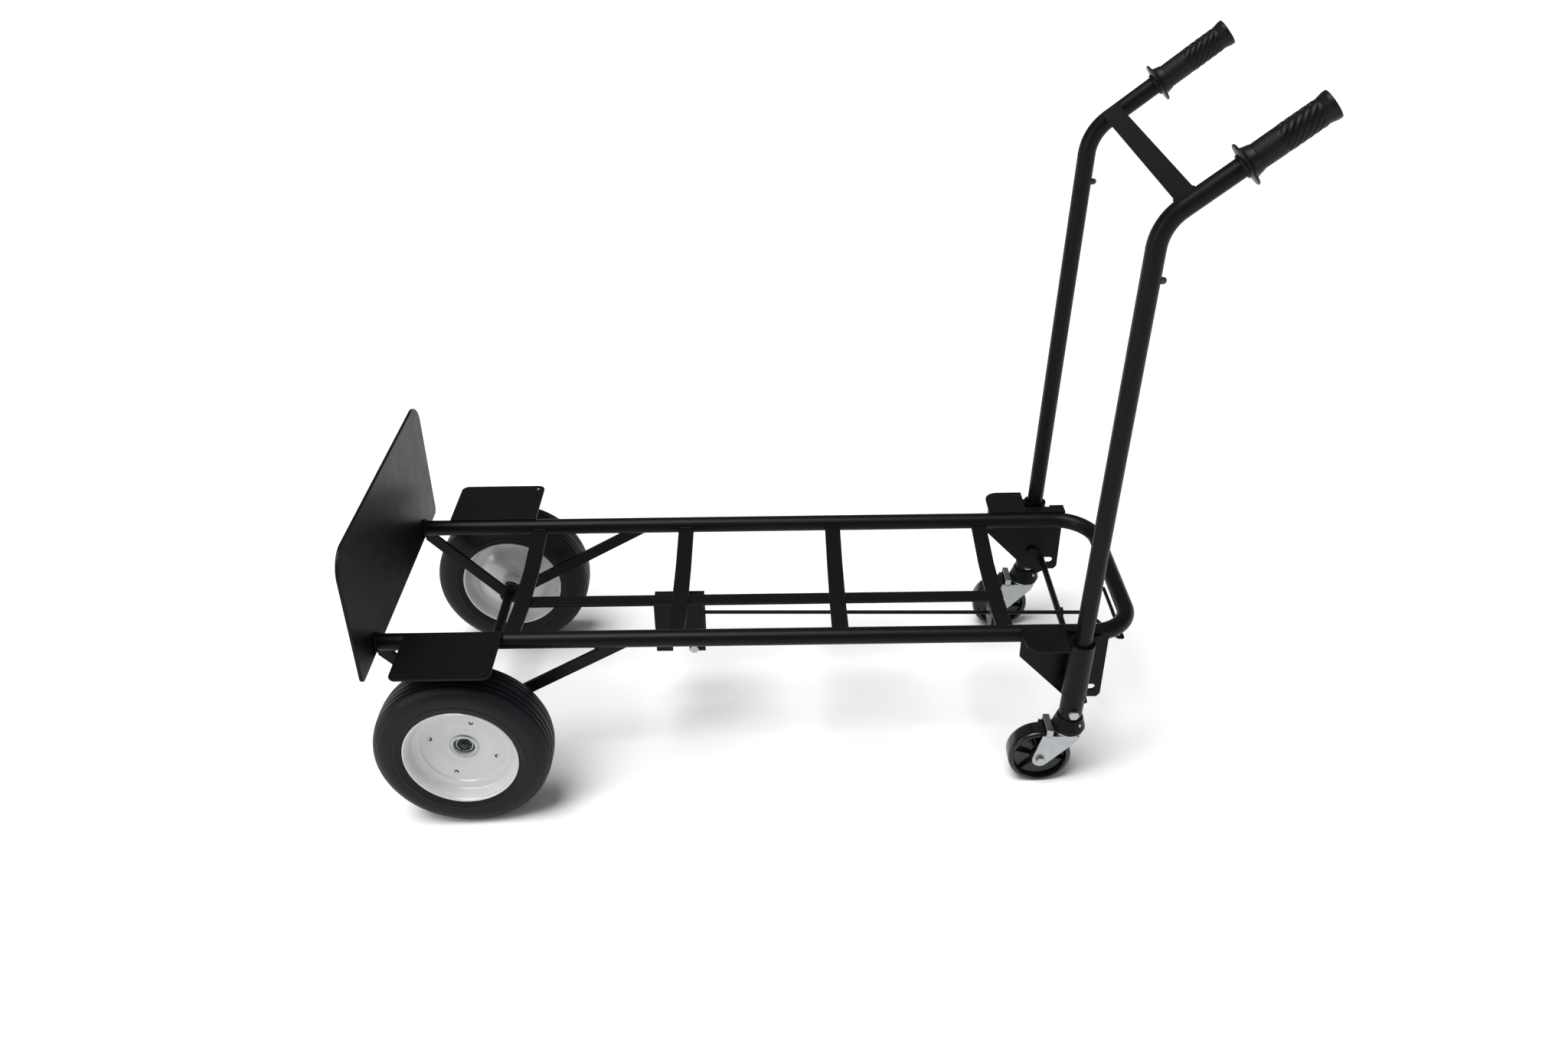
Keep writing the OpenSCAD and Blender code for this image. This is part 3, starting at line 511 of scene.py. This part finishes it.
# ---- Handle tubes, crossbar and stop buttons ----
# Two tubes rise from the legs, bend out over the deck's end and carry the grips. A flat bar
# is welded between them on the slope. Below each bend a small plastic button stands out.
for side, sign in SIDES:
    dress("handle_tube_" + side, black_steel)
eased("handle_crossbar", 0.9, black_steel, "handle", "black_steel")
dress("stop_buttons", matt_plastic)
BEND_TOP, SLOPE = 697.5, math.radians(50)
slope_x = Vector((math.cos(SLOPE), 0, -math.sin(SLOPE)))
slope_z = Vector((math.sin(SLOPE), 0, math.cos(SLOPE)))


def on_slope(x, y, z):
    """A point on the sloped part, measured from where the two straight lengths would meet."""
    p = Vector((0, y, BEND_TOP)) + slope_x * x + slope_z * z
    return handle(*p)


for side, sign in SIDES:
    inner = sign * (HANDLE_Y - 9.5)
    for edge, z in (("low", 27.0), ("high", 52.4)):
        bead("crossbar_weld_%s_%s" % (edge, side),
             [on_slope(-11.6, inner + sign * 4, z), on_slope(-9.6, inner - sign * 4, z)],
             1.6, "handle")

# ---- Grips ----
# Moulded rubber grips are pushed over the tube ends: a thumb guard with a cone behind it, a
# band of diamond knurling, then slanting grooves where the palm lies, and a flared end.
grip_rubber = finish("grip_rubber", (0.0038, 0.0036, 0.004), 0.4, fleck=(0.008, 0.008, 0.008),
                     rough_swing=0.05, grain=1800.0, grain_depth=0.00008, shine=0.16)
GRIP_FROM = 112.0
GRIP_OUTLINE = [[12.8, -6], [14.9, -6], [15.6, -5], [15.9, -2.6], [17.0, -1.9], [26.8, -1.9],
                [27.9, -1.0], [27.9, 0.6], [26.8, 1.5], [23.0, 2.0], [20.6, 2.9], [19.6, 4.6],
                [18.6, 8.4], [17.4, 13.4]]
GRIP_CONE = 13.4


def grip_radius(s, turn):
    """Radius of the grip's body, s millimetres past the guard, at an angle round it."""
    base = 16.4 + 0.25 * math.sin(math.pi * (s - 8) / 86)
    if s > 96:
        base += 2.1 * min(1.0, (s - 96) / 9.0)
    if 14 < s < 42:
        knurl = math.sin(s * 1.35 + turn * 20) * math.sin(s * 1.35 - turn * 20)
        return base + 0.6 * max(0.0, knurl) - 0.15
    if 46 < s < 93:
        groove = math.sin((s + 20.0 * math.cos(turn)) * 2 * math.pi / 9.2)
        return base + 0.4 - 1.5 * max(0.0, groove) ** 2
    return base


def grip(side, sign):
    """The grip in rings from its guard to its end; None takes the radius from grip_radius."""
    steps, count = 160, 150
    rows = list(GRIP_OUTLINE)
    for k in range(1, count + 1):
        rows.append([None, GRIP_CONE + (109.0 - GRIP_CONE) * k / count])
    rows += [[17.8, 109.8], [16.2, 110.0], [6.0, 110.0], [4.4, 109.0], [0.01, 109.0]]
    mesh = bpy.data.meshes.new("grip_" + side)
    bm = bmesh.new()
    grid = []
    for r, z in rows:
        ring = []
        for i in range(steps):
            turn = 2 * math.pi * i / steps
            here = grip_radius(z, turn) if r is None else r
            ring.append(bm.verts.new(on_slope(
                here * math.cos(turn), sign * (HANDLE_Y + here * math.sin(turn)),
                GRIP_FROM + z)))
        grid.append(ring)
    for a, b in zip(grid, grid[1:]):
        for i in range(steps):
            n = (i + 1) % steps
            bm.faces.new((a[i], a[n], b[n], b[i]))
    bmesh.ops.remove_doubles(bm, verts=bm.verts, dist=1e-6)
    bmesh.ops.recalc_face_normals(bm, faces=bm.faces)
    bm.to_mesh(mesh)
    bm.free()
    soft_shaded(mesh, 40)
    add("grip_moulded_" + side, mesh, grip_rubber, "handle", "grip_rubber", "grip_" + side)


for side, sign in SIDES:
    grip(side, sign)

# ---- Caster cups, forks and rollers ----
# A pressed cup on a plug closes each leg and holds the swivel's balls between bright races.
# The fork is one zinc-plated pressing, folded down each side of a glossy plastic wheel with a
# crown behind the races. A hex bolt with a plain steel bush makes the axle.
gloss_plastic = finish("caster_plastic", (0.0042, 0.0042, 0.0046), 0.24, coat=0.25,
                       fleck=(0.006, 0.006, 0.006), rough_swing=0.05, shine=0.25)
TRAIL, DROP = 38.2, 122.8
ROLLER_HALF = [[46.9, 9.0], [46.4, 12.2], [45.0, 14.2], [42.6, 15.2], [40.6, 15.3],
               [39.4, 14.4], [38.6, 11.0], [37.4, 5.4], [35.6, 4.4], [26.0, 4.0],
               [17.0, 4.2], [14.6, 5.4], [13.8, 13.8], [12.8, 15.2], [9.1, 15.2]]
RIVET_CIRCLE, RIVET_H = 20.6, -56.4
CROWN = [(-20, -80), (-20, -66.5), (20, -66.5), (20, -80), (17.5, -80), (17.5, -69),
         (-17.5, -69), (-17.5, -80)]


def fork_crown(side, sign):
    """The folded crown that joins the two cheeks behind the races, above the wheel."""
    mesh = bpy.data.meshes.new("fork_crown_" + side)
    bm = bmesh.new()
    ends = [[bm.verts.new(ON_HANDLE @ Vector((x * MM, (sign * HANDLE_Y + y) * MM, z * MM)))
             for y, z in CROWN] for x in (-35, -24.9)]
    for end in ends:
        bm.faces.new(end)
    for i in range(len(CROWN)):
        n = (i + 1) % len(CROWN)
        bm.faces.new((ends[0][i], ends[0][n], ends[1][n], ends[1][i]))
    bmesh.ops.recalc_face_normals(bm, faces=bm.faces)
    bm.to_mesh(mesh)
    bm.free()
    soft_shaded(mesh)
    obj = add("fork_crown_" + side, mesh, zinc, "caster_" + side, "zinc_steel")
    bevel = obj.modifiers.new("folded_edges", "BEVEL")
    bevel.width = 1.0 * MM
    bevel.segments = 3


def wheel_ribs(side, place):
    """Six moulded ribs on each face, from the hub to the rim."""
    mesh = bpy.data.meshes.new("caster_ribs_" + side)
    bm = bmesh.new()
    for face in (1, -1):
        for k in range(6):
            turn = place @ Matrix.Rotation(math.radians(12 + 60 * k), 4, "Y")
            ends = []
            for x, height in ((13.0, 12.0), (38.4, 9.6)):
                ends.append([bm.verts.new(turn @ Vector((x * MM, face * y * MM, z * MM)))
                             for y, z in ((3.6, -1.1), (3.6, 1.1), (height, 0.7),
                                          (height, -0.7))])
            a, b = ends
            bm.faces.new(a)
            bm.faces.new(list(reversed(b)))
            for i in range(4):
                n = (i + 1) % 4
                bm.faces.new((a[n], a[i], b[i], b[n]))
    bmesh.ops.recalc_face_normals(bm, faces=bm.faces)
    bm.to_mesh(mesh)
    bm.free()
    soft_shaded(mesh)
    obj = add("caster_ribs_" + side, mesh, gloss_plastic, "caster_roller_" + side,
              "caster_plastic")
    bevel = obj.modifiers.new("moulded_edges", "BEVEL")
    bevel.width = 0.4 * MM
    bevel.segments = 2


for side, sign in SIDES:
    middle = (ON_HANDLE @ Matrix.Translation((-TRAIL * MM, sign * HANDLE_Y * MM, -DROP * MM))
              @ Matrix.Diagonal((1, sign, 1, 1)))
    turned("caster_wheel_moulded_" + side, mirrored(ROLLER_HALF), middle, gloss_plastic,
           "caster_roller_" + side, "caster_plastic", "caster_wheel_" + side, steps=128,
           angle=35)
    wheel_ribs(side, middle)
    fork_crown(side, sign)
    dress("caster_bush_" + side, zinc)
    for k, turn in enumerate((35, 125, 215, 305)):
        c, d = math.cos(math.radians(turn)), math.sin(math.radians(turn))
        spot = ON_HANDLE @ Matrix.Translation(
            (RIVET_CIRCLE * c * MM, (sign * HANDLE_Y + RIVET_CIRCLE * d) * MM,
             RIVET_H * MM)) @ Matrix.Rotation(math.radians(90), 4, "X")
        small_turned("cup_rivet_%d_%s" % (k + 1, side),
                     [[0.01, 2.0], [1.1, 1.8], [1.9, 1.0], [2.1, 0.0], [2.1, -3.0],
                      [0.01, -3.0]], spot, zinc if k % 2 else black_steel, "handle",
                     "zinc_steel" if k % 2 else "black_steel", steps=24)
    eased("caster_cup_" + side, 0.8, black_steel, "handle", "black_steel")
    eased("caster_fork_" + side, 0.8, zinc, "caster_" + side, "zinc_steel", steps=3)
    eased("caster_race_" + side, 0.9, zinc, "caster_" + side, "zinc_steel", steps=3)
    eased("caster_bolt_" + side, 0.5, zinc, "caster_" + side, "zinc_steel")

# ---- Floor, light and camera ----
# The truck stands on a plain pale floor. One broad light comes from above and two weak soft
# ones from the sides, as in a studio, and the camera looks down on its near side.
floor_mesh = bpy.data.meshes.new("floor")
FLOOR = 60
floor_mesh.from_pydata([(-FLOOR, -FLOOR, 0), (FLOOR, -FLOOR, 0), (FLOOR, FLOOR, 0),
                        (-FLOOR, FLOOR, 0)], [], [(0, 1, 2, 3)])
floor = bpy.data.objects.new("floor", floor_mesh)
bpy.context.scene.collection.objects.link(floor)
pale = bpy.data.materials.new("pale_floor")
pale.use_nodes = True
pale_body = pale.node_tree.nodes["Principled BSDF"]
pale_body.inputs["Base Color"].default_value = (0.93, 0.93, 0.93, 1)
pale_body.inputs["Roughness"].default_value = 0.9
floor_mesh.materials.append(pale)

world = bpy.data.worlds.new("studio")
world.use_nodes = True
world.node_tree.nodes["Background"].inputs["Color"].default_value = (1, 1, 1, 1)
world.node_tree.nodes["Background"].inputs["Strength"].default_value = 0.2
bpy.context.scene.world = world
bpy.context.scene.view_settings.view_transform = "Standard"


def soft_light(name, at, aim, size, power):
    light = bpy.data.lights.new(name, "AREA")
    light.shape = "RECTANGLE"
    light.size, light.size_y = size
    light.energy = power
    obj = bpy.data.objects.new(name, light)
    obj.location = at
    obj.rotation_euler = (Vector(aim) - Vector(at)).to_track_quat("-Z", "Y").to_euler()
    bpy.context.scene.collection.objects.link(obj)


sky = bpy.data.lights.new("overhead", "SUN")
sky.energy = 3.5
sky.angle = math.radians(40)
overhead = bpy.data.objects.new("overhead", sky)
overhead.rotation_euler = Vector((0.22, 0.16, -1)).to_track_quat("-Z", "Y").to_euler()
bpy.context.scene.collection.objects.link(overhead)
soft_light("window", (-3.0, -1.8, 1.8), (0, 0, 0.4), (0.9, 2.0), 36)
soft_light("fill", (2.6, -2.6, 1.4), (0.2, 0, 0.4), (1.4, 1.4), 12)

PITCH, YAW, ROLL = math.radians(31.90), math.radians(-1.03), math.radians(-3.01)
away = Vector((math.sin(YAW) * math.cos(PITCH), math.cos(YAW) * math.cos(PITCH),
               -math.sin(PITCH)))
level = Vector((math.cos(YAW), -math.sin(YAW), 0))
upright = level.cross(away)
across = math.cos(ROLL) * level + math.sin(ROLL) * upright
up = -math.sin(ROLL) * level + math.cos(ROLL) * upright
camera = bpy.data.cameras.new("camera")
camera.lens = 29.56
camera.sensor_width = 36.0
camera.clip_end = 50
view = bpy.data.objects.new("camera", camera)
spot = Vector((axle_middle.x + 0.5111, -1.6625, 1.3828))
turn = Matrix((across, up, -away)).transposed().to_4x4()
view.matrix_world = Matrix.Translation(spot) @ turn
bpy.context.scene.collection.objects.link(view)
bpy.context.scene.camera = view
